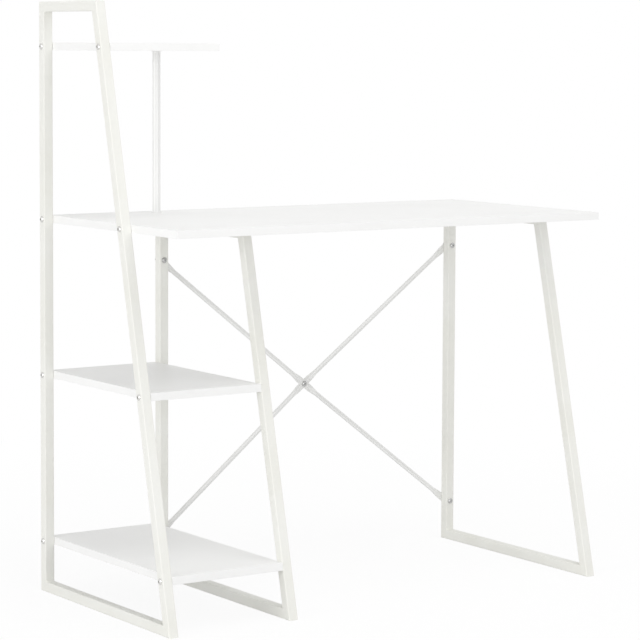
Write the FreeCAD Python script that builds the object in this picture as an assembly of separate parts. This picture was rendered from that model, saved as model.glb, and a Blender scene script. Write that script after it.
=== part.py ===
"""A white desk with a shelving unit at its left end, in millimetres, +Z up.

Three welded frames of square steel tube stand across the desk, each with an upright rear leg
and a front leg that leans back as it rises. The left frame is tall and carries three shelves and
the left end of the desktop. The middle and right frames end under the desktop. Two crossed tubes
with flattened ends brace the rear legs, and a round post carries the free end of the top shelf.

The construction is laid out from the left frame's outer face (x), the toes of the front legs (y)
and the floor (z), and is then moved so that the origin is the middle of the footprint.
"""
import FreeCAD
import Part

import math
import os

V = FreeCAD.Vector

# The whole desk
overall_width = 1020.0
frame_depth = 500.0
overall_height = 1170.0
desktop_height = 750.0
tall_frame_top_depth = 228.0

# Square tube of the frames
tube_size = 20.0
tube_wall = 1.2
tube_corner_radius = 2.0

# Boards and the strips glued to their edges
board_thickness = 15.0
edge_band_thickness = 0.8
edge_band_softening = 0.4
shelf_length = 244.0
top_shelf_drop = 80.0
middle_shelf_height = 441.0
bottom_shelf_height = 108.0
desktop_front_setback = 5.0
right_frame_inset = 3.0

# Hexagon socket bolts that hold the boards and the braces
bolt_radius = 3.0
bolt_head_radius = 6.0
bolt_head_height = 3.0
bolt_head_rim = 1.0
bolt_head_top_radius = 2.8
socket_across_flats = 4.0
socket_depth = 2.0
bolt_hole_clearance = 0.25
thread_clearance = 0.05

# Barrel nuts in the undersides of the boards
barrel_nut_radius = 5.0
barrel_nut_length = 11.0
barrel_nut_clearance = 0.15
barrel_nut_setback = 30.0
barrel_slot_width = 1.2
barrel_slot_depth = 1.0

# Screws that hold the desktop down on the middle and right frames
screw_radius = 2.25
screw_head_radius = 4.5
screw_head_height = 2.6
screw_head_rim = 0.8
screw_head_top_radius = 2.6
screw_recess_length = 4.5
screw_recess_width = 1.1
screw_recess_depth = 1.4
screw_bite = 10.0
screw_setback = 90.0

# Round post under the top shelf
post_radius = 8.0
post_wall = 1.2
post_from_shelf_end = 26.0
post_from_rear_edge = 50.0
post_cap_radius = 10.0
post_cap_flange = 2.0
post_cap_softening = 0.6
post_cap_spigot = 14.0
post_cap_clearance = 0.1
post_bolt_reach = 10.0
countersink_radius = 6.0
countersink_depth = 3.2

# Crossed braces behind the legs
brace_radius = 5.0
brace_wall = 1.0
brace_upper_drop = 100.0
brace_lower_height = 84.0
brace_end_flat = 23.0
brace_middle_flat = 17.0
brace_squash_length = 20.0
brace_bow = 15.0

# Hexagon nuts and washers behind the braces
nut_across_flats = 10.0
nut_height = 5.0
nut_softening = 0.6
washer_radius = 6.0
washer_thickness = 1.2
bolt_show_past_nut = 1.5

# One overrun serves every cutting tool
overrun = 5.0

# Worked out from the sizes above
lean = (frame_depth - tall_frame_top_depth) / overall_height
top_shelf_height = overall_height - top_shelf_drop
desktop_underside = desktop_height - board_thickness
brace_upper_height = desktop_height - brace_upper_drop
middle_frame_x = tube_size + shelf_length
right_frame_x = overall_width - right_frame_inset - tube_size
rear_leg_y = frame_depth - tube_size / 2
leg_slant = math.sqrt(1 + lean * lean)
bolt_hole_radius = bolt_radius + bolt_hole_clearance
board_bolt_length = tube_size + barrel_nut_setback + barrel_nut_radius
brace_thickness = 2 * brace_wall
brace_flat_width = math.pi * (brace_radius - brace_wall / 2) + brace_wall
brace_y = frame_depth + brace_thickness / 2
barrel_recess = (board_thickness - barrel_nut_length) / 2
barrel_pocket_depth = barrel_recess + barrel_nut_length
cap_spigot_radius = post_radius - post_wall - post_cap_clearance
end_bolt_length = tube_size + brace_thickness + washer_thickness + nut_height + bolt_show_past_nut
centre_bolt_length = 2 * brace_thickness + nut_height + bolt_show_past_nut

low_x = -bolt_head_height
high_x = overall_width
low_y = 0
high_y = brace_y + brace_bow - brace_thickness + centre_bolt_length
origin_shift = V(-(low_x + high_x) / 2, -(low_y + high_y) / 2, 0)


def front_leg_y(height):
    """The centre line of a front leg at a height above the floor."""
    return lean * height + leg_slant * tube_size / 2


def cylinder(radius, length, base, direction):
    return Part.makeCylinder(radius, length, base, direction)


def turned(shape, direction):
    """Stands a shape made along +Z on another direction."""
    copy = shape.copy()
    copy.Placement = FreeCAD.Placement(V(0, 0, 0), FreeCAD.Rotation(V(0, 0, 1), direction))
    return copy


def moved(shape, place):
    copy = shape.copy()
    copy.translate(place)
    return copy


def rounded_square(size, radius):
    """A square outline with round corners, about the local origin."""
    half = size / 2
    straight = half - radius
    middle = straight + radius * math.sin(math.pi / 4)
    edges = []
    for quarter in range(4):
        turn = FreeCAD.Rotation(V(0, 0, 1), 90 * quarter)
        side = Part.LineSegment(turn.multVec(V(half, -straight, 0)), turn.multVec(V(half, straight, 0)))
        corner = Part.Arc(turn.multVec(V(half, straight, 0)), turn.multVec(V(middle, middle, 0)),
                          turn.multVec(V(straight, half, 0)))
        edges += [side.toShape(), corner.toShape()]
    return Part.Wire(edges)


def hexagon_prism(across_flats, height, base):
    radius = across_flats / math.sqrt(3)
    points = [V(radius * math.cos(math.radians(60 * k)), radius * math.sin(math.radians(60 * k)), 0) + base
              for k in range(7)]
    return Part.Face(Part.makePolygon(points)).extrude(V(0, 0, height))


# The welded frames

def inner_corner(before, corner, after, inset):
    """Where the inner lines of two tubes meet, one tube size in from the outer corner."""
    to_before = (before - corner).normalize()
    to_after = (after - corner).normalize()
    return corner + (to_before + to_after) * (inset / to_before.cross(to_after).Length)


def mitred_tube(left_x, outer, inner, here, there):
    """One tube of a frame, cut at both ends on the lines from outer to inner corner."""
    start = outer[here]
    along = (outer[there] - start).normalize()
    inward = (inner[here] - start) - along * along.dot(inner[here] - start)
    inward = inward.normalize()
    length = (outer[there] - start).Length

    rise = length + 2 * tube_size
    bore_size = tube_size - 2 * tube_wall
    skin = Part.Face(rounded_square(tube_size, tube_corner_radius)).extrude(V(0, 0, rise))
    bore = Part.makeBox(bore_size, bore_size, rise, V(-bore_size / 2, -bore_size / 2, 0))
    stick = turned(skin.cut(bore), along)
    stick.translate(start - along * tube_size + inward * (tube_size / 2) + V(left_x + tube_size / 2, 0, 0))

    reach = overrun / tube_size
    first = inner[here] - outer[here]
    last = inner[there] - outer[there]
    corners = [outer[here] - first * reach, outer[there] - last * reach,
               inner[there] + last * reach, inner[here] + first * reach]
    corners.append(corners[0])
    low = V(left_x - overrun, 0, 0)
    blank = Part.Face(Part.makePolygon([point + low for point in corners]))
    return stick.common(blank.extrude(V(tube_size + 2 * overrun, 0, 0)))


def frame_tubes(left_x, height):
    """The four tubes of a frame, by name."""
    outer = [V(0, 0, 0), V(0, frame_depth, 0), V(0, frame_depth, height), V(0, lean * height, height)]
    inner = [inner_corner(outer[k - 1], outer[k], outer[(k + 1) % 4], tube_size) for k in range(4)]
    names = ["bottom_rail", "rear_leg", "top_rail", "front_leg"]
    return {name: mitred_tube(left_x, outer, inner, k, (k + 1) % 4) for k, name in enumerate(names)}


# Bolts, nuts and screws, made pointing down from a seat at the origin

def domed_head(radius, height, rim, top_radius):
    """A low head with an upright rim and a dome that ends in a flat round the drive."""
    rise = height - rim
    centre = (height + rim) / 2 - (radius * radius - top_radius * top_radius) / (2 * rise)
    ball = math.hypot(radius, rim - centre)
    between = (radius + top_radius) / 2
    middle = V(between, 0, centre + math.sqrt(ball * ball - between * between))
    profile = [Part.LineSegment(V(0, 0, 0), V(radius, 0, 0)).toShape(),
               Part.LineSegment(V(radius, 0, 0), V(radius, 0, rim)).toShape(),
               Part.Arc(V(radius, 0, rim), middle, V(top_radius, 0, height)).toShape(),
               Part.LineSegment(V(top_radius, 0, height), V(0, 0, height)).toShape(),
               Part.LineSegment(V(0, 0, height), V(0, 0, 0)).toShape()]
    return Part.Face(Part.Wire(profile)).revolve(V(0, 0, 0), V(0, 0, 1), 360)


def socket_bolt(length):
    head = domed_head(bolt_head_radius, bolt_head_height, bolt_head_rim, bolt_head_top_radius)
    shank = cylinder(bolt_radius, length, V(0, 0, -length), V(0, 0, 1))
    socket = hexagon_prism(socket_across_flats, socket_depth + overrun, V(0, 0, bolt_head_height - socket_depth))
    return head.fuse(shank).removeSplitter().cut(socket)


def countersunk_bolt(length):
    cone = Part.makeCone(bolt_radius, countersink_radius, countersink_depth, V(0, 0, -countersink_depth))
    shank = cylinder(bolt_radius, length, V(0, 0, -length), V(0, 0, 1))
    socket = hexagon_prism(socket_across_flats, socket_depth + overrun, V(0, 0, -socket_depth))
    return cone.fuse(shank).removeSplitter().cut(socket)


def pan_screw(length):
    head = domed_head(screw_head_radius, screw_head_height, screw_head_rim, screw_head_top_radius)
    shank = cylinder(screw_radius, length - screw_radius, V(0, 0, screw_radius - length), V(0, 0, 1))
    point = Part.makeCone(0, screw_radius, screw_radius, V(0, 0, -length))
    screw = head.fuse([shank, point]).removeSplitter()
    for across, along in [(screw_recess_length, screw_recess_width), (screw_recess_width, screw_recess_length)]:
        corner = V(-across / 2, -along / 2, screw_head_height - screw_recess_depth)
        screw = screw.cut(Part.makeBox(across, along, screw_recess_depth + overrun, corner))
    return screw


def hexagon_nut():
    """A nut on the origin, with its corners turned down at both ends and its thread along Z."""
    blank = hexagon_prism(nut_across_flats, nut_height, V(0, 0, 0))
    corner_radius = nut_across_flats / math.sqrt(3)
    widest = corner_radius + nut_softening
    body = cylinder(widest, nut_height, V(0, 0, 0), V(0, 0, 1))
    ends = [body.Edges[k] for k in range(len(body.Edges)) if body.Edges[k].Closed]
    body = body.makeChamfer(2 * nut_softening, ends)
    hole = cylinder(bolt_radius + thread_clearance, nut_height + 2 * overrun, V(0, 0, -overrun), V(0, 0, 1))
    return blank.common(body).cut(hole)


def washer():
    ring = cylinder(washer_radius, washer_thickness, V(0, 0, 0), V(0, 0, 1))
    hole = cylinder(bolt_hole_radius, washer_thickness + 2 * overrun, V(0, 0, -overrun), V(0, 0, 1))
    return ring.cut(hole)


def barrel_nut():
    """A round nut that stands in a pocket, slotted below, with its thread at the middle of the board."""
    body = cylinder(barrel_nut_radius, barrel_nut_length, V(0, 0, 0), V(0, 0, 1))
    thread = cylinder(bolt_radius + thread_clearance, 2 * barrel_nut_radius + 2 * overrun,
                      V(-barrel_nut_radius - overrun, 0, board_thickness / 2 - barrel_recess), V(1, 0, 0))
    slot = Part.makeBox(2 * barrel_nut_radius + 2 * overrun, barrel_slot_width, barrel_slot_depth,
                        V(-barrel_nut_radius - overrun, -barrel_slot_width / 2, 0))
    return body.cut(thread).cut(slot)


# Boards

def banded_board(left_x, length, front_y, underside):
    """A board and the four strips round its edges, as two shapes."""
    band = edge_band_thickness
    depth = frame_depth - front_y
    core = Part.makeBox(length - 2 * band, depth - 2 * band, board_thickness,
                        V(left_x + band, front_y + band, underside))
    strips = []
    for y, outer_y in [(front_y, front_y), (frame_depth - band, frame_depth)]:
        strip = Part.makeBox(length, band, board_thickness, V(left_x, y, underside))
        strips.append(softened(strip, 1, outer_y))
    for x, outer_x in [(left_x, left_x), (left_x + length - band, left_x + length)]:
        strip = Part.makeBox(band, depth - 2 * band, board_thickness, V(x, front_y + band, underside))
        strips.append(softened(strip, 0, outer_x))
    return core, Part.makeCompound(strips)


def softened(strip, axis, place):
    """Rounds the two long edges of a strip that lie on its outer face."""
    chosen = []
    for edge in strip.Edges:
        first = edge.Vertexes[0].Point
        last = edge.Vertexes[1].Point
        level = abs(first.z - last.z) < edge_band_softening
        outside = abs(first[axis] - place) + abs(last[axis] - place) < edge_band_softening
        if level and outside:
            chosen.append(edge)
    return strip.makeFillet(edge_band_softening, chosen)


def drill(shapes, names, tools):
    for name in names:
        shapes[name] = shapes[name].cut(tools)


# The crossed braces

def round_halves(centre, along):
    """A brace's round outline about a point of its axis, as an upper and a lower half circle."""
    side = V(-along.y, along.x, 0) * brace_radius
    rise = V(0, 0, brace_radius)
    return [Part.Arc(centre - side, centre + rise * turn, centre + side).toShape() for turn in (1, -1)]


def flat_corners(place, side):
    """The upper and the lower end of one flat side of a squashed brace."""
    half_width = brace_flat_width / 2 - brace_wall
    return [place + V(0, side * brace_wall, z) for z in (half_width, -half_width)]


def flat_halves(place):
    """The round upper and lower ends of a squashed brace's outline."""
    tips = [place + V(0, 0, brace_flat_width / 2), place - V(0, 0, brace_flat_width / 2)]
    near, far = flat_corners(place, -1), flat_corners(place, 1)
    return [Part.Arc(first, tip, last).toShape() for first, tip, last in zip(near, tips, far)]


def flat_outline(place):
    """The outline of a squashed brace: two flat sides joined by two round ones."""
    sides = [Part.LineSegment(*flat_corners(place, side)).toShape() for side in (-1, 1)]
    upper, lower = flat_halves(place)
    return Part.Wire([upper, sides[1], lower, sides[0]])


def flat_strip(place, length):
    return Part.Face(flat_outline(place)).extrude(V(length, 0, 0))


def squash(flat_place, round_place, along):
    """The run from flat to round as sheet metal bends: two half cones and two flat triangles."""
    faces = [Part.Face(flat_outline(flat_place)), Part.Face(Part.Wire(round_halves(round_place, along)))]
    for flat_half, round_half in zip(flat_halves(flat_place), round_halves(round_place, along)):
        faces.append(Part.makeRuledSurface(flat_half, round_half))
    for side in (-1, 1):
        tip = round_place + V(-along.y, along.x, 0) * (side * brace_radius)
        faces.append(Part.Face(Part.makePolygon([tip] + flat_corners(flat_place, side) + [tip])))
    shell = Part.makeShell(faces)
    shell.sewShape()
    run = Part.makeSolid(shell)
    if run.Volume < 0:
        run.reverse()
    return run


def squashed_tube(length, middle_offset):
    """A brace along +X from one bolt to the other, with its middle set back and pressed to one side."""
    half = length / 2
    end_flat = V(brace_end_flat, 0, 0)
    middle_flat = V(half - brace_middle_flat, brace_bow + middle_offset, 0)
    along = (middle_flat - end_flat).normalize()
    round_start = end_flat + along * brace_squash_length
    round_end = middle_flat - along * brace_squash_length
    tube_length = (round_end - round_start).Length
    tube = cylinder(brace_radius, tube_length, round_start, along)
    tube = tube.cut(cylinder(brace_radius - brace_wall, tube_length, round_start, along))
    pieces = [flat_strip(V(0, 0, 0), brace_end_flat), squash(end_flat, round_start, along), tube,
              squash(middle_flat, round_end, along), flat_strip(middle_flat, brace_middle_flat)]
    pieces += [piece.mirror(V(half, 0, 0), V(1, 0, 0)) for piece in pieces]
    for x in (0, length):
        pieces.append(cylinder(brace_flat_width / 2, brace_thickness, V(x, -brace_thickness / 2, 0), V(0, 1, 0)))
    brace = pieces[0].fuse(pieces[1:]).removeSplitter()
    for x, y in [(0, 0), (half, brace_bow), (length, 0)]:
        brace = brace.cut(cylinder(bolt_hole_radius, 4 * brace_radius, V(x, y - 2 * brace_radius, 0), V(0, 1, 0)))
    return brace


def brace_between(start, end, middle_offset):
    run = end - start
    brace = squashed_tube(run.Length, middle_offset)
    brace.Placement = FreeCAD.Placement(start, FreeCAD.Rotation(V(0, 1, 0), -math.degrees(math.atan2(run.z, run.x))))
    return brace


def build():
    """Every piece of the desk, by name."""
    shapes = {}

    # Frames
    frames = {"left": (0, overall_height), "middle": (middle_frame_x, desktop_underside),
              "right": (right_frame_x, desktop_underside)}
    for side, (x, height) in frames.items():
        for tube, shape in frame_tubes(x, height).items():
            shapes[side + "_" + tube] = shape

    # Boards, flush with the rear legs behind and with the leaning legs in front
    shelves = {"top_shelf": top_shelf_height, "middle_shelf": middle_shelf_height,
               "bottom_shelf": bottom_shelf_height}
    for name, top in shelves.items():
        middle = top - board_thickness / 2
        core, bands = banded_board(tube_size, shelf_length, lean * middle, top - board_thickness)
        shapes[name + "_board"] = core
        shapes[name + "_edge_bands"] = bands
    core, bands = banded_board(tube_size, overall_width - tube_size, desktop_front_setback, desktop_underside)
    shapes["desktop_board"] = core
    shapes["desktop_edge_bands"] = bands

    # Bolts through the legs into barrel nuts in the boards
    left_bolts = []
    middle_bolts = []
    barrel_nuts = []
    for name, top in list(shelves.items()) + [("desktop", desktop_height)]:
        middle = top - board_thickness / 2
        underside = top - board_thickness
        ends = [("left", 0, V(1, 0, 0), tube_size)]
        if name in ("middle_shelf", "bottom_shelf"):
            ends.append(("middle", middle_frame_x + tube_size, V(-1, 0, 0), middle_frame_x))
        for side, face_x, inward, board_end in ends:
            for leg, y in [("rear_leg", rear_leg_y), ("front_leg", front_leg_y(middle))]:
                seat = V(face_x, y, middle)
                bolt = moved(turned(socket_bolt(board_bolt_length), inward * -1), seat)
                (left_bolts if side == "left" else middle_bolts).append(bolt)
                hole = cylinder(bolt_hole_radius, tube_size + barrel_nut_setback + overrun,
                                seat - inward * overrun, inward)
                nut_place = V(board_end + inward.x * barrel_nut_setback, y, underside)
                pocket = cylinder(barrel_nut_radius + barrel_nut_clearance, barrel_pocket_depth + overrun,
                                  nut_place - V(0, 0, overrun), V(0, 0, 1))
                barrel_nuts.append(moved(barrel_nut(), nut_place + V(0, 0, barrel_recess)))
                drill(shapes, [side + "_" + leg, name + "_edge_bands"], [hole])
                drill(shapes, [name + "_board"], [hole, pocket])
    shapes["left_frame_bolts"] = Part.makeCompound(left_bolts)
    shapes["middle_frame_bolts"] = Part.makeCompound(middle_bolts)
    shapes["barrel_nuts"] = Part.makeCompound(barrel_nuts)

    # Screws up through the top rails into the desktop
    screws = []
    first_y = lean * desktop_underside + screw_setback
    last_y = frame_depth - screw_setback
    for side, x in [("middle", middle_frame_x), ("right", right_frame_x)]:
        for y in (first_y, last_y):
            seat = V(x + tube_size / 2, y, desktop_underside - tube_size)
            screws.append(moved(turned(pan_screw(tube_size + screw_bite), V(0, 0, -1)), seat))
            hole = cylinder(screw_radius + bolt_hole_clearance, tube_size + screw_bite + overrun,
                            seat - V(0, 0, overrun), V(0, 0, 1))
            tip_room = moved(hole, V(0, 0, screw_radius))
            drill(shapes, [side + "_top_rail", "desktop_board"], [hole, tip_room])
    shapes["desktop_screws"] = Part.makeCompound(screws)

    # Post with a plastic cap in each end, held by a bolt from below and one from above
    post_x = tube_size + shelf_length - post_from_shelf_end
    post_y = frame_depth - post_from_rear_edge
    post_foot = V(post_x, post_y, desktop_height)
    post_length = top_shelf_height - board_thickness - desktop_height
    tube_length = post_length - 2 * post_cap_flange
    tube_foot = post_foot + V(0, 0, post_cap_flange)
    post = cylinder(post_radius, tube_length, tube_foot, V(0, 0, 1))
    shapes["shelf_post"] = post.cut(cylinder(post_radius - post_wall, tube_length + 2 * overrun,
                                             tube_foot - V(0, 0, overrun), V(0, 0, 1)))
    flange = cylinder(post_cap_radius, post_cap_flange, V(0, 0, 0), V(0, 0, 1))
    rim = [edge for edge in flange.Edges if edge.Closed and edge.Vertexes[0].Z > 0]
    flange = flange.makeChamfer(post_cap_softening, rim)
    cap = flange.fuse(cylinder(cap_spigot_radius, post_cap_flange + post_cap_spigot, V(0, 0, 0), V(0, 0, 1)))
    thread = cylinder(bolt_radius + thread_clearance, post_cap_flange + post_cap_spigot + 2 * overrun,
                      V(0, 0, -overrun), V(0, 0, 1))
    cap = cap.removeSplitter().cut(thread)
    shapes["post_base_cap"] = moved(cap, post_foot)
    shapes["post_top_cap"] = moved(turned(cap, V(0, 0, -1)), post_foot + V(0, 0, post_length))
    reach = board_thickness + post_cap_flange + post_bolt_reach
    base_seat = post_foot - V(0, 0, board_thickness)
    top_seat = post_foot + V(0, 0, post_length + board_thickness)
    shapes["post_base_bolt"] = moved(turned(socket_bolt(reach), V(0, 0, -1)), base_seat)
    shapes["post_top_bolt"] = moved(countersunk_bolt(reach), top_seat)
    drill(shapes, ["desktop_board"], [cylinder(bolt_hole_radius, board_thickness + 2 * overrun,
                                               base_seat - V(0, 0, overrun), V(0, 0, 1))])
    sink = Part.makeCone(countersink_radius, bolt_radius, countersink_depth, top_seat, V(0, 0, -1))
    drill(shapes, ["top_shelf_board"], [sink, cylinder(bolt_hole_radius, board_thickness + 2 * overrun,
                                                       top_seat + V(0, 0, overrun), V(0, 0, -1))])

    # Braces, their end bolts through the rear legs, and the bolt where they cross
    left_x = middle_frame_x + tube_size / 2
    right_x = right_frame_x + tube_size / 2
    upper = brace_upper_height
    lower = brace_lower_height
    shapes["falling_brace"] = brace_between(V(left_x, brace_y, upper), V(right_x, brace_y, lower), -brace_wall)
    shapes["rising_brace"] = brace_between(V(left_x, brace_y, lower), V(right_x, brace_y, upper), brace_wall)
    end_bolts = []
    end_washers = []
    end_nuts = []
    nut_seat = brace_y + brace_thickness / 2
    for side, x in [("middle", left_x), ("right", right_x)]:
        for z in (upper, lower):
            seat = V(x, frame_depth - tube_size, z)
            end_bolts.append(moved(turned(socket_bolt(end_bolt_length), V(0, -1, 0)), seat))
            end_washers.append(moved(turned(washer(), V(0, 1, 0)), V(x, nut_seat, z)))
            end_nuts.append(moved(turned(hexagon_nut(), V(0, 1, 0)), V(x, nut_seat + washer_thickness, z)))
            drill(shapes, [side + "_rear_leg"], [cylinder(bolt_hole_radius, tube_size + 2 * overrun,
                                                          seat - V(0, overrun, 0), V(0, 1, 0))])
    shapes["brace_end_bolts"] = Part.makeCompound(end_bolts)
    shapes["brace_end_washers"] = Part.makeCompound(end_washers)
    shapes["brace_end_nuts"] = Part.makeCompound(end_nuts)
    crossing = V((left_x + right_x) / 2, brace_y + brace_bow, (upper + lower) / 2)
    front_seat = crossing - V(0, brace_thickness, 0)
    back_seat = crossing + V(0, brace_thickness, 0)
    shapes["brace_centre_bolt"] = moved(turned(socket_bolt(centre_bolt_length), V(0, -1, 0)), front_seat)
    shapes["brace_centre_nut"] = moved(turned(hexagon_nut(), V(0, 1, 0)), back_seat)
    return shapes


def main():
    os.makedirs("parts", exist_ok=True)
    for name, shape in build().items():
        placed = moved(shape, origin_shift)
        placed.exportStep("parts/" + name + ".step")
        box = placed.BoundBox
        print(f"{name:28s} solids {len(placed.Solids):2d}  valid {placed.isValid()}  "
              f"volume {placed.Volume / 1000:9.2f} cm3  box {box.XLength:7.1f} {box.YLength:6.1f} {box.ZLength:7.1f}")


main()
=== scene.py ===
# %% [markdown]
# # A white desk with a shelving end
#
# The desk stands on three frames of square steel tube, powder coated in a warm white. Four boards with
# a white melamine face lie between them, a round post carries the free end of the top shelf, and two
# thin tubes cross behind the legs. The construction is already modelled as closed solids in metres, with
# the floor at z = 0. Here it gets its surfaces, its weld beads, its threads, its light and its camera.
#
# The first step loads those solids. Each one is an object whose place is in its mesh, so nothing has to
# be moved.

# %% Load the construction
import math

import bmesh
import bpy
from mathutils import Euler, Matrix, Vector


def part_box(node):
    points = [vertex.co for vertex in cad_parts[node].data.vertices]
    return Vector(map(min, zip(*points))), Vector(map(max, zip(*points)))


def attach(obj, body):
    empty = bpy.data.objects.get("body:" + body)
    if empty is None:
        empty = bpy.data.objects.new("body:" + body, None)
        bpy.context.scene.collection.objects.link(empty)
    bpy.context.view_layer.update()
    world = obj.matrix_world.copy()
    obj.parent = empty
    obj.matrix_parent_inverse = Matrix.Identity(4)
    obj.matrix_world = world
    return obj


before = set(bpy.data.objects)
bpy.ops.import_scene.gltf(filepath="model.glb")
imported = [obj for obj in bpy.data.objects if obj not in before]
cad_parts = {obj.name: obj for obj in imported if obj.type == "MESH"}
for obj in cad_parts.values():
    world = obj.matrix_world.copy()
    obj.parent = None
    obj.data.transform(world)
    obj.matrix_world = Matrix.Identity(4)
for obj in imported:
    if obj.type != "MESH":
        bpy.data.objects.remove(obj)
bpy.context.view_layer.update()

# %% [markdown]
# ## A small kit for building materials
#
# Every finish below is a Principled shader with a few texture nodes in front of it. Writing each link
# by hand would bury the idea, so one helper makes the material with its shader, a second adds a node and
# sets its inputs by name, and a third does one sum. All patterns are laid out on Object coordinates. The
# objects sit at the origin, so those are metres on the real desk, and a pattern's scale can be read as
# "per metre". Only `new_finish` and `metres` need a material: the others work on the world's nodes too.

# %% Helpers for node trees
def new_finish(name, colour, roughness, metallic=0.0):
    """A material with one Principled shader. Returns the material and the shader."""
    material = bpy.data.materials.new(name)
    material.use_nodes = True
    shader = material.node_tree.nodes["Principled BSDF"]
    shader.inputs["Base Color"].default_value = (*colour, 1.0)
    shader.inputs["Roughness"].default_value = roughness
    shader.inputs["Metallic"].default_value = metallic
    material.diffuse_color = (*colour, 1.0)
    return material, shader


def add_node(owner, kind, settings=None, **values):
    """Adds a node, sets its own properties and the values of its inputs."""
    node = owner.node_tree.nodes.new(kind)
    for name, value in (settings or {}).items():
        setattr(node, name, value)
    for name, value in values.items():
        node.inputs[name.replace("_", " ")].default_value = value
    return node


def link(owner, source, target):
    owner.node_tree.links.new(source, target)


def maths(owner, operation, *terms):
    """The result of a sum, whose terms are plain numbers or the outputs of other nodes."""
    node = add_node(owner, "ShaderNodeMath", {"operation": operation})
    for socket, term in zip(node.inputs, terms):
        if isinstance(term, float):
            socket.default_value = term
        else:
            link(owner, term, socket)
    return node.outputs["Value"]


def metres(material):
    """Object coordinates, which are metres on the desk."""
    return add_node(material, "ShaderNodeTexCoord").outputs["Object"]


# %% [markdown]
# ## Building blocks: colour drift, gloss and grain
#
# No real coat is one flat colour. A powder coat and a melamine sheet both drift a little in tone over a
# hand's width, and both have a fine relief that breaks up the light. `mottle` mixes two close colours
# with a slow noise. `worn_gloss` lets the roughness wander between two values, because handling polishes
# some places more than others. `grain` feeds a fine noise into a Bump node: the scale sets how wide each
# grain is, and the distance is the real height of the relief in metres.

# %% Helpers for colour drift, gloss and grain
def noise(material, coordinates, per_metre, detail=2.0, stretch=(1.0, 1.0, 1.0)):
    """A noise texture of so many cells per metre, which may be drawn out along an axis."""
    mapping = add_node(material, "ShaderNodeMapping", Scale=stretch)
    link(material, coordinates, mapping.inputs["Vector"])
    texture = add_node(material, "ShaderNodeTexNoise", Scale=per_metre, Detail=detail)
    link(material, mapping.outputs["Vector"], texture.inputs["Vector"])
    return texture.outputs["Fac"]


def two_tones(material, shader, pattern, first, second, start, end):
    """The base colour goes from a first tone to a second as the pattern rises from start to end."""
    ramp = add_node(material, "ShaderNodeValToRGB")
    for stop, position, tone in zip(ramp.color_ramp.elements, (start, end), (first, second)):
        stop.position = position
        stop.color = (*tone, 1.0)
    link(material, pattern, ramp.inputs["Fac"])
    link(material, ramp.outputs["Color"], shader.inputs["Base Color"])


def mottle(material, shader, pattern, dark, light):
    """The base colour drifts between two close tones, within the values that a noise mostly takes."""
    two_tones(material, shader, pattern, dark, light, start=0.32, end=0.68)


def worn_gloss(material, shader, pattern, smooth, rough):
    """The roughness wanders between two values."""
    spread = add_node(material, "ShaderNodeMapRange", {"interpolation_type": "SMOOTHSTEP"},
                      From_Min=0.15, From_Max=0.85, To_Min=smooth, To_Max=rough)
    link(material, pattern, spread.inputs["Value"])
    link(material, spread.outputs["Result"], shader.inputs["Roughness"])


def grain(material, shader, patterns, height):
    """A relief of one or more patterns, so many metres high in all."""
    total = patterns[0]
    for pattern in patterns[1:]:
        total = maths(material, "ADD", total, pattern)
    bump = add_node(material, "ShaderNodeBump", Strength=1.0, Distance=height)
    link(material, total, bump.inputs["Height"])
    link(material, bump.outputs["Normal"], shader.inputs["Normal"])


def dress(names, material):
    """Gives a finish to nodes of the construction."""
    for name in names:
        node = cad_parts[name]
        node.data.materials.clear()
        node.data.materials.append(material)
    print(material.name, "on", len(names), "nodes")


# %% [markdown]
# ## Powder coat on the square frames
#
# The frames are sprayed with dry powder that melts in an oven. It leaves a satin skin with a fine
# orange peel: dimples about a millimetre and a half across and a few hundredths of a millimetre deep,
# with finer specks between them. The white is warm, a little towards yellow green, which is plain next
# to the neutral boards. Two noises of different scale make the peel, and a slow one drifts the tone.

# %% Powder coat
powder_coat, powder_shader = new_finish("powder coat, warm white", (0.86, 0.86, 0.82), 0.53)
powder_place = metres(powder_coat)
mottle(powder_coat, powder_shader, noise(powder_coat, powder_place, 9.0, detail=3.0),
       dark=(0.845, 0.842, 0.79), light=(0.88, 0.88, 0.843))
worn_gloss(powder_coat, powder_shader, noise(powder_coat, powder_place, 60.0), smooth=0.56, rough=0.66)
peel_dimples = noise(powder_coat, powder_place, 650.0, detail=1.0)
peel_specks = noise(powder_coat, powder_place, 2200.0, detail=0.0)
grain(powder_coat, powder_shader, [peel_dimples, peel_specks], height=0.00016)

dress([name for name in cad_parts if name.endswith(("_rail", "_leg"))], powder_coat)

# %% [markdown]
# ## Painted reflection streaks on the round tubes
#
# The post and the crossed braces are round tube under a thinner, glossier white. A glossy tube shows light
# and dark streaks along it where it reflects a room. Here they are painted into the coat's colour, as
# painted reflections. Streaks that run along a tube depend only on the angle round its axis. A radial
# gradient gives that angle, once the coordinates are moved so that the axis is at their origin and turned
# so that it is their Z. A sine of the angle makes evenly spaced streaks, and a slow noise along the tube
# makes them fade in and out.
#
# Seen from above, each brace also bends away from the legs: its two halves meet in a very shallow V at
# the crossing. `follow_bend` takes that out again, by moving the pattern forward in step with the
# distance from the crossing.

# %% Patterns that run along a tube
def painted_reflection_streaks(material, along, count):
    """A value from 0 to 1 that makes so many soft painted reflection streaks round an axis along Z at the
    origin.
    """
    angle = add_node(material, "ShaderNodeTexGradient", {"gradient_type": "RADIAL"})
    link(material, along, angle.inputs["Vector"])
    wave = maths(material, "SINE", maths(material, "MULTIPLY", angle.outputs["Fac"], 2.0 * math.pi * count))
    return maths(material, "MULTIPLY_ADD", wave, 0.5, 0.5)


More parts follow.
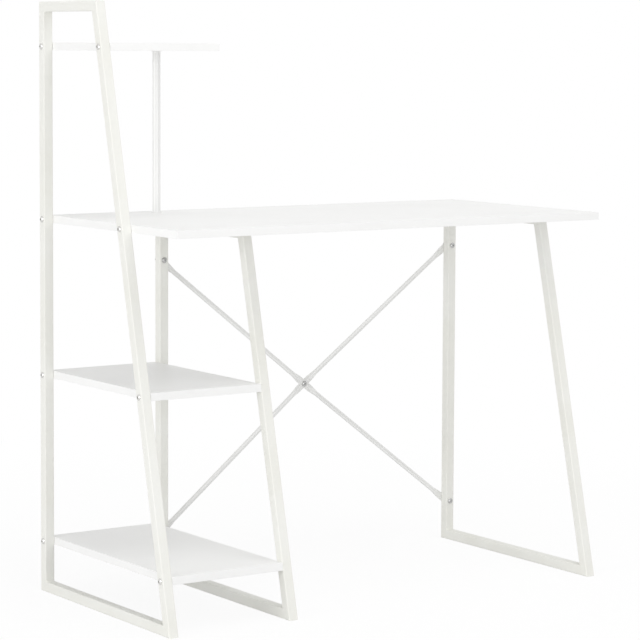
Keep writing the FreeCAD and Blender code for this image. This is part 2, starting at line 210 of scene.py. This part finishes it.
def follow_bend(material, along, fall):
    """Straightens a tube whose two halves fall away in Y by so much for each metre from its middle."""
    parts = add_node(material, "ShaderNodeSeparateXYZ")
    link(material, along, parts.inputs["Vector"])
    distance = maths(material, "ABSOLUTE", parts.outputs["Z"])
    raised = maths(material, "MULTIPLY_ADD", distance, fall, parts.outputs["Y"])
    straight = add_node(material, "ShaderNodeCombineXYZ")
    for axis, value in (("X", parts.outputs["X"]), ("Y", raised), ("Z", parts.outputs["Z"])):
        link(material, value, straight.inputs[axis])
    return straight.outputs["Vector"]


# %% [markdown]
# ## A glossier coat for the round tubes
#
# One function makes the coat for any round tube, from the turn and the point that bring its axis to Z.
# The painted reflection streaks darken the white a little, a slow noise moves the gloss, and a thin clear
# layer on top can give the highlight a sharp edge. The braces have it. The post's coat is softer and goes
# without.

# %% Gloss coat with rolled lines
def tube_coat_with_painted_streaks(name, turn, axis_point, dark, light, count, gloss, clear, fall=0.0):
    """A glossy white coat with painted reflection streaks along a tube, which runs along Z after a turn
    about Y.
    """
    material, shader = new_finish(name, light, 0.3)
    placed = add_node(material, "ShaderNodeMapping", Rotation=(0.0, turn, 0.0),
                      Location=-(Matrix.Rotation(turn, 3, "Y") @ axis_point))
    link(material, metres(material), placed.inputs["Vector"])
    along = follow_bend(material, placed.outputs["Vector"], fall)
    # Painted reflections: dark streaks along the tube, painted into the base colour.
    painted_streaks = maths(material, "MULTIPLY", painted_reflection_streaks(material, along, count),
                  noise(material, along, 5.0, detail=1.0))
    two_tones(material, shader, painted_streaks, light, dark, start=0.0, end=0.6)
    worn_gloss(material, shader, noise(material, along, 40.0), *gloss)
    grain(material, shader, [noise(material, along, 700.0, detail=1.0)], height=0.00002)
    shader.inputs["Coat Weight"].default_value = clear
    shader.inputs["Coat Roughness"].default_value = 0.15
    return material


def middle_of(name):
    low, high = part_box(name)
    return (Vector(low) + Vector(high)) / 2


post_coat = tube_coat_with_painted_streaks("gloss coat on the post", 0.0, middle_of("shelf_post"),
                               dark=(0.815, 0.815, 0.805), light=(0.908, 0.908, 0.902),
                               count=9, gloss=(0.42, 0.5), clear=0.0)
dress(["shelf_post"], post_coat)

# %% [markdown]
# ## The same coat on the braces, in lighter tones
#
# The post runs along Z already. The braces run along two slopes in the XZ plane, so each gets its own
# material. A slope that is half a degree wrong would let the lines wander off the side of the tube, so
# it is taken from the bolts at the ends of the braces. The bow is taken from each brace's box: the round
# part starts a few centimetres from each bolt, and there its axis is one radius from the box's faces.

# %% Coat on the braces
bolt_head_width = 0.012
bolts_low, bolts_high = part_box("brace_end_bolts")
brace_run = bolts_high.x - bolts_low.x - bolt_head_width
brace_rise = bolts_high.z - bolts_low.z - bolt_head_width
brace_slope = math.atan2(brace_run, brace_rise)
brace_half_length = math.hypot(brace_run, brace_rise) / 2
brace_radius = 0.005
round_from_crossing = 0.037
round_from_bolt = 0.043
for brace, turn in (("rising_brace", math.pi - brace_slope), ("falling_brace", brace_slope)):
    brace_low, brace_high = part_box(brace)
    axis_near, axis_far = brace_low.y + brace_radius, brace_high.y - brace_radius
    fall = (axis_far - axis_near) / (brace_half_length - round_from_bolt - round_from_crossing)
    crossing = middle_of(brace)
    crossing.y = axis_far + fall * round_from_crossing
    # The braces' tones are lighter than the post's. This is painted light, which makes up for the shade
    # that the desktop casts on them.
    brace_coat = tube_coat_with_painted_streaks("gloss coat on the " + brace.replace("_", " "), turn, crossing,
                                    dark=(0.81, 0.81, 0.795), light=(0.925, 0.925, 0.915),
                                    count=5, gloss=(0.26, 0.34), clear=0.15, fall=fall)
    dress([brace], brace_coat)
    print("the", brace.replace("_", " "), "bends back by", round(1000 * fall * brace_half_length, 1), "mm")
print("the braces lean", round(math.degrees(brace_slope), 1), "degrees from upright")

# %% [markdown]
# ## White melamine on the boards
#
# The boards are particle board under a pressed sheet of melamine paper. The sheet is a neutral white,
# whiter than the steel, with a pearl texture from the press plate: soft pits about a millimetre apart.
# It has a low sheen. The strips on the edges are a smoother plastic, a touch brighter, and the joint
# between strip and sheet shows as a fine change of tone along every edge.

# %% Melamine boards
boards = ["desktop", "top_shelf", "middle_shelf", "bottom_shelf"]

melamine, melamine_shader = new_finish("white melamine", (0.905, 0.905, 0.895), 0.4)
melamine_place = metres(melamine)
mottle(melamine, melamine_shader, noise(melamine, melamine_place, 5.0, detail=4.0),
       dark=(0.893, 0.893, 0.882), light=(0.915, 0.915, 0.906))
worn_gloss(melamine, melamine_shader, noise(melamine, melamine_place, 25.0, detail=3.0),
           smooth=0.36, rough=0.46)
pearl_pits = add_node(melamine, "ShaderNodeTexVoronoi", Scale=900.0)
link(melamine, melamine_place, pearl_pits.inputs["Vector"])
pearl_specks = noise(melamine, melamine_place, 2600.0)
grain(melamine, melamine_shader, [pearl_pits.outputs["Distance"], pearl_specks], height=0.00006)
dress([name + "_board" for name in boards], melamine)

# %% Strips on the edges
edge_strip, edge_shader = new_finish("white edge strip", (0.93, 0.93, 0.922), 0.34)
edge_place = metres(edge_strip)
mottle(edge_strip, edge_shader, noise(edge_strip, edge_place, 14.0),
       dark=(0.92, 0.92, 0.912), light=(0.938, 0.938, 0.931))
worn_gloss(edge_strip, edge_shader, noise(edge_strip, edge_place, 70.0), smooth=0.3, rough=0.4)
upright_specks = noise(edge_strip, edge_place, 1800.0, stretch=(1.0, 1.0, 0.3))
grain(edge_strip, edge_shader, [upright_specks], height=0.000012)
dress([name + "_edge_bands" for name in boards], edge_strip)

# %% [markdown]
# ## Bright zinc and nickel on the fasteners
#
# The bolts, nuts and washers of the braces and the barrel nuts in the boards are plated with zinc, and
# the other bolts and screws with a lighter, satin nickel. Plating on turned steel is a grey mirror with
# a slight haze, broken by fine tool marks. The shader is fully metallic, and a fine noise moves both its
# tone and its roughness.

# %% Zinc and nickel
def plating(name, dark, light):
    """A plated metal between two tones, with a haze that varies and fine tool marks."""
    material, shader = new_finish(name, light, 0.3, metallic=1.0)
    place = metres(material)
    mottle(material, shader, noise(material, place, 300.0, detail=3.0), dark, light)
    worn_gloss(material, shader, noise(material, place, 900.0), smooth=0.22, rough=0.42)
    grain(material, shader, [noise(material, place, 2500.0, detail=1.0)], height=0.00002)
    return material


zinc = plating("bright zinc", dark=(0.46, 0.46, 0.455), light=(0.58, 0.58, 0.575))
nickel = plating("satin nickel", dark=(0.62, 0.615, 0.60), light=(0.74, 0.735, 0.72))
dress(["barrel_nuts", "brace_end_bolts", "brace_end_washers", "brace_end_nuts", "brace_centre_bolt",
       "brace_centre_nut"], zinc)
dress(["left_frame_bolts", "middle_frame_bolts", "desktop_screws", "post_base_bolt", "post_top_bolt"],
      nickel)

# %% [markdown]
# ## Moulded caps in the post
#
# The caps in the ends of the post are moulded white plastic, a little greyer than the coat round them.
# A mould is sanded or etched, and its plastic copies that as specks a fraction of a millimetre wide.

# %% Cap plastic
cap_plastic, cap_shader = new_finish("moulded white plastic", (0.86, 0.86, 0.85), 0.38)
cap_place = metres(cap_plastic)
mottle(cap_plastic, cap_shader, noise(cap_plastic, cap_place, 200.0),
       dark=(0.845, 0.845, 0.835), light=(0.875, 0.875, 0.865))
worn_gloss(cap_plastic, cap_shader, noise(cap_plastic, cap_place, 500.0), smooth=0.34, rough=0.44)
grain(cap_plastic, cap_shader, [noise(cap_plastic, cap_place, 2400.0)], height=0.00002)
dress(["post_base_cap", "post_top_cap"], cap_plastic)

# %% [markdown]
# ## Where the frames are welded
#
# The tubes are welded where they meet. Outside, the welds are ground flush before coating, and inside
# each corner a small bead stays. The corners are found from the solids themselves: the rear leg's front
# face, the rails' inner faces, and the line of the front leg's rear face, which leans back by the same
# amount in every frame.

# %% Inner corners of a frame
tube = 0.020


def inner_corners(side):
    """The four inner corners of a frame, as (y, z), and the middle of its tubes in x."""
    rail_low, rail_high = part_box(side + "_bottom_rail")
    leg_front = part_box(side + "_rear_leg")[0].y
    top_low, top_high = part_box(side + "_top_rail")
    lean = (top_low.y - rail_low.y) / top_high.z
    front_leg_back = rail_low.y + tube * math.sqrt(1.0 + lean * lean)
    spots = [(leg_front, rail_high.z), (leg_front, top_low.z),
             (front_leg_back + lean * top_low.z, top_low.z),
             (front_leg_back + lean * rail_high.z, rail_high.z)]
    return spots, (rail_low.x + rail_high.x) / 2


print("corners of the left frame:", [(round(y, 3), round(z, 3)) for y, z in inner_corners("left")[0]])

# %% [markdown]
# ## Weld beads
#
# A bead is a rod that lies in the corner, half sunk in the steel, with the ripples that the torch
# leaves. It starts as a circle across the corner, which is extruded along X in short steps. Each new
# ring is made a little wider or narrower than the last, so that ripples form, and the ends are drawn in
# and closed.

# %% One weld bead
bead_radius = 0.0026
bead_sides = 14
bead_ripples = 9
end_size, valley_size, crest_size = 0.45, 0.9, 1.0
gap_beside_bead = 0.0018


def lay_bead(mesh, x_middle, y, z):
    """One rippled bead along X, with its centre line in the corner."""
    width = tube - 2 * gap_beside_bead
    steps = 2 * bead_ripples
    step = width / steps
    start = x_middle - width / 2
    sizes = [end_size] + [crest_size if k % 2 else valley_size for k in range(1, steps)] + [end_size]
    across = Matrix.Translation((start, y, z)) @ Matrix.Rotation(math.radians(90), 4, "Y")
    ring = bmesh.ops.create_circle(mesh, cap_ends=False, segments=bead_sides,
                                   radius=bead_radius * end_size, matrix=across)
    first_edges = list({edge for vert in ring["verts"] for edge in vert.link_edges})
    edges = first_edges
    for k in range(1, steps + 1):
        made = bmesh.ops.extrude_edge_only(mesh, edges=edges)
        verts = [item for item in made["geom"] if isinstance(item, bmesh.types.BMVert)]
        edges = [item for item in made["geom"] if isinstance(item, bmesh.types.BMEdge)
                 and item.verts[0] in verts and item.verts[1] in verts]
        bmesh.ops.translate(mesh, vec=(step, 0.0, 0.0), verts=verts)
        growth = sizes[k] / sizes[k - 1]
        to_centre = Matrix.Translation((-start - k * step, -y, -z))
        bmesh.ops.scale(mesh, vec=(1.0, growth, growth), space=to_centre, verts=verts)
    bmesh.ops.contextual_create(mesh, geom=edges)
    bmesh.ops.contextual_create(mesh, geom=first_edges)


# %% [markdown]
# ## A bead in every corner
#
# Three frames with four corners each make twelve beads in one mesh. The finished mesh becomes an object
# at the origin, takes the frame's own coat, and rides on the desk.

# %% Weld beads in all corners
def finished_piece(name, shape, material):
    """Turns a bmesh into an object at the origin, with its place in its mesh and one material."""
    mesh = bpy.data.meshes.new(name)
    shape.to_mesh(mesh)
    shape.free()
    mesh.materials.append(material)
    piece = bpy.data.objects.new(name, mesh)
    bpy.context.scene.collection.objects.link(piece)
    return piece


beads = bmesh.new()
for side in ("left", "middle", "right"):
    spots, x_middle = inner_corners(side)
    for y, z in spots:
        lay_bead(beads, x_middle, y, z)
bmesh.ops.recalc_face_normals(beads, faces=beads.faces)
weld_beads = finished_piece("frame_weld_beads", beads, powder_coat)
weld_beads.data.shade_smooth()
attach(weld_beads, "root")
print("weld beads:", len(weld_beads.data.polygons), "faces")

# %% [markdown]
# ## Threads on the bolts behind the braces
#
# The five bolts of the braces stand a little way out of their nuts, and there their threads show. The
# solids are plain rods, so each gets a ridge that coils round it, from half a turn inside the nut to the
# bolt's end. A three-sided circle is the ridge's section: one corner points away from the bolt, and the
# other two lie under its skin. Spin with an offset at every step is a screw motion, so one call makes
# the whole coil. Both ends are closed, and the ridge is shaded smooth, because rolled threads have
# round crests.

# %% One thread
thread_pitch = 0.001
bolt_radius = 0.003
ridge_height = 0.00016
steps_in_a_turn = 24


def lay_thread(mesh, x, z, nut_face, bolt_end):
    """A coiled ridge on a bolt along Y, from half a turn inside its nut to its end. Returns its turns."""
    size = 2 * ridge_height
    start = nut_face - thread_pitch / 2
    turns = (bolt_end - size - start) / thread_pitch
    steps = math.floor(turns * steps_in_a_turn)
    place = Matrix.Translation((x + bolt_radius - ridge_height, start, z))
    section = bmesh.ops.create_circle(mesh, cap_ends=False, segments=3, radius=size,
                                      matrix=place @ Matrix.Rotation(math.radians(-90), 4, "Z"))
    first = list({edge for vert in section["verts"] for edge in vert.link_edges})
    coil = bmesh.ops.spin(mesh, geom=section["verts"] + first, cent=(x, 0.0, z), axis=(0.0, 1.0, 0.0),
                          dvec=(0.0, thread_pitch / steps_in_a_turn, 0.0),
                          angle=math.radians(360) * steps / steps_in_a_turn, steps=steps,
                          use_duplicate=False)
    last = [item for item in coil["geom_last"] if isinstance(item, bmesh.types.BMEdge)]
    bmesh.ops.contextual_create(mesh, geom=first)
    bmesh.ops.contextual_create(mesh, geom=last)
    return turns


# %% Threads on the five bolts
threads = bmesh.new()
head_radius = bolt_head_width / 2
end_nuts_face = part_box("brace_end_nuts")[1].y
for x in (bolts_low.x + head_radius, bolts_high.x - head_radius):
    for z in (bolts_low.z + head_radius, bolts_high.z - head_radius):
        end_turns = lay_thread(threads, x, z, end_nuts_face, bolts_high.y)
centre_bolt = middle_of("brace_centre_bolt")
centre_turns = lay_thread(threads, centre_bolt.x, centre_bolt.z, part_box("brace_centre_nut")[1].y,
                          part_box("brace_centre_bolt")[1].y)
bmesh.ops.recalc_face_normals(threads, faces=threads.faces)
brace_bolt_threads = finished_piece("brace_bolt_threads", threads, zinc)
brace_bolt_threads.data.shade_smooth()
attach(brace_bolt_threads, "root")
print("threads:", len(brace_bolt_threads.data.polygons), "faces,", round(end_turns, 2),
      "turns on each end bolt and", round(centre_turns, 2), "at the crossing")

# %% [markdown]
# ## White that stays white: what the camera sees and what lights the desk
#
# A white desk on white needs a room that is as bright as the desk, or it turns grey, and not a shade
# brighter, or its edges are lost. So the floor and the world each have two sides. The camera, a mirror
# or glass sees one of them, which is white, and bounced light comes from the other, which is the grey of
# a real studio. Light Path tells the two apart.
#
# The floor is a wide plane. The camera sees it as almost pure white, but near the desk a small share of
# what it sees is a white surface lit as the desk is, so that the soft shadows under the rails stay.

# %% Helpers for the room
def seen_directly(owner):
    """1 for what is seen straight, in a mirror or through glass, and 0 for light that bounces."""
    rays = add_node(owner, "ShaderNodeLightPath")
    direct = maths(owner, "MAXIMUM", rays.outputs["Is Camera Ray"], rays.outputs["Is Glossy Ray"])
    return maths(owner, "MAXIMUM", direct, rays.outputs["Is Transmission Ray"])


def mixed(owner, share, first, second):
    """The first shader, with a share of the second."""
    node = add_node(owner, "ShaderNodeMixShader")
    for socket, source in zip(node.inputs, (share, first, second)):
        link(owner, source, socket)
    return node.outputs["Shader"]


def own_share_near(material, share):
    """A share that falls from its full value near the desk to nothing a few metres away."""
    reach = add_node(material, "ShaderNodeVectorMath", {"operation": "LENGTH"})
    link(material, metres(material), reach.inputs[0])
    fade = add_node(material, "ShaderNodeMapRange", {"interpolation_type": "SMOOTHSTEP"},
                    From_Min=0.7, From_Max=2.0, To_Min=share, To_Max=0.0)
    link(material, reach.outputs["Value"], fade.inputs["Value"])
    return fade.outputs["Result"]


# %% Floor
white = (1.0, 1.0, 1.0, 1.0)
floor_grey = (0.78, 0.78, 0.78, 1.0)
share_with_shadows = 0.10
floor_half_side = 30.0

floor_white = bpy.data.materials.new("studio floor")
floor_white.use_nodes = True
floor_white.node_tree.nodes.clear()
bouncing = add_node(floor_white, "ShaderNodeBsdfDiffuse", Color=floor_grey)
shaded = add_node(floor_white, "ShaderNodeBsdfDiffuse", Color=white)
glow = add_node(floor_white, "ShaderNodeEmission", Color=white, Strength=1.0)
seen_floor = mixed(floor_white, own_share_near(floor_white, share_with_shadows),
                   glow.outputs["Emission"], shaded.outputs["BSDF"])
either_floor = mixed(floor_white, seen_directly(floor_white), bouncing.outputs["BSDF"], seen_floor)
link(floor_white, either_floor, add_node(floor_white, "ShaderNodeOutputMaterial").inputs["Surface"])

floor_sheet = bmesh.new()
bmesh.ops.create_grid(floor_sheet, x_segments=1, y_segments=1, size=floor_half_side)
floor = finished_piece("floor", floor_sheet, floor_white)
print("floor laid,", 2 * floor_half_side, "m wide")

# %% World
world = bpy.data.worlds.new("studio")
world.use_nodes = True
world.node_tree.nodes.clear()
even_light = add_node(world, "ShaderNodeBackground", Color=white, Strength=0.74)
white_sky = add_node(world, "ShaderNodeBackground", Color=white, Strength=1.0)
either_sky = mixed(world, seen_directly(world), even_light.outputs["Background"],
                   white_sky.outputs["Background"])
link(world, either_sky, add_node(world, "ShaderNodeOutputWorld").inputs["Surface"])
bpy.context.scene.world = world
print("world of even light:", round(even_light.inputs["Strength"].default_value, 2))

# %% [markdown]
# ## Lamps
#
# The world's even light does most of the work. A large soft lamp overhead lights the tops, a low one at
# the left lights the outer sides, and a weaker low one at the front lights the fronts, so that each face
# has its own tone. The undersides of the boards stay darker by themselves.

# %% Soft lamps
def soft_lamp(name, place, aim, size, power):
    """A square lamp at a place, turned to face a point of the desk."""
    lamp = bpy.data.lights.new(name, "AREA")
    lamp.shape = "SQUARE"
    lamp.size = size
    lamp.energy = power
    holder = bpy.data.objects.new(name, lamp)
    holder.location = place
    holder.rotation_euler = (Vector(aim) - Vector(place)).to_track_quat("-Z", "Y").to_euler()
    bpy.context.scene.collection.objects.link(holder)


soft_lamp("top lamp", place=(0.3, -1.9, 4.6), aim=(0.0, 0.0, 0.7), size=2.6, power=46.0)
soft_lamp("left lamp", place=(-6.4, -1.2, 1.1), aim=(0.0, 0.0, 0.6), size=2.2, power=97.0)
soft_lamp("front lamp", place=(-1.4, -4.8, 0.95), aim=(0.0, 0.0, 0.6), size=1.7, power=29.0)

# %% [markdown]
# ## The camera
#
# The picture was taken from the left, level with the top shelf, through a long lens, so the uprights
# stay nearly parallel. The camera stands about five metres away, turned 34 degrees to the right and 4.5
# degrees down. Turned down any further, it would make the uprights lean together. So the picture is
# shifted down on the sensor instead, and the point that the camera faces lies above its middle.

# %% Camera
picture_side = 640
lens_in_pixels = 2548.69
faced_row = 240.0
camera_place = (-2.87317, -4.22408, 1.09525)
degrees_down, degrees_right, degrees_of_roll = 4.464, 34.22, 0.26

camera_data = bpy.data.cameras.new("camera")
camera_data.sensor_width = 36.0
camera_data.lens = lens_in_pixels / picture_side * camera_data.sensor_width
camera_data.shift_y = (faced_row - picture_side / 2) / picture_side
camera_data.clip_start = 0.1
camera_data.clip_end = 100.0
camera = bpy.data.objects.new("camera", camera_data)
bpy.context.scene.collection.objects.link(camera)
look = Euler((math.radians(90.0 - degrees_down), 0.0, math.radians(-degrees_right)))
roll = Matrix.Rotation(math.radians(degrees_of_roll), 4, "Z")
camera.matrix_world = Matrix.Translation(camera_place) @ look.to_matrix().to_4x4() @ roll
bpy.context.scene.camera = camera
bpy.context.scene.view_settings.view_transform = "Standard"
print("lens:", round(camera_data.lens, 1), "mm, shift:", camera_data.shift_y)
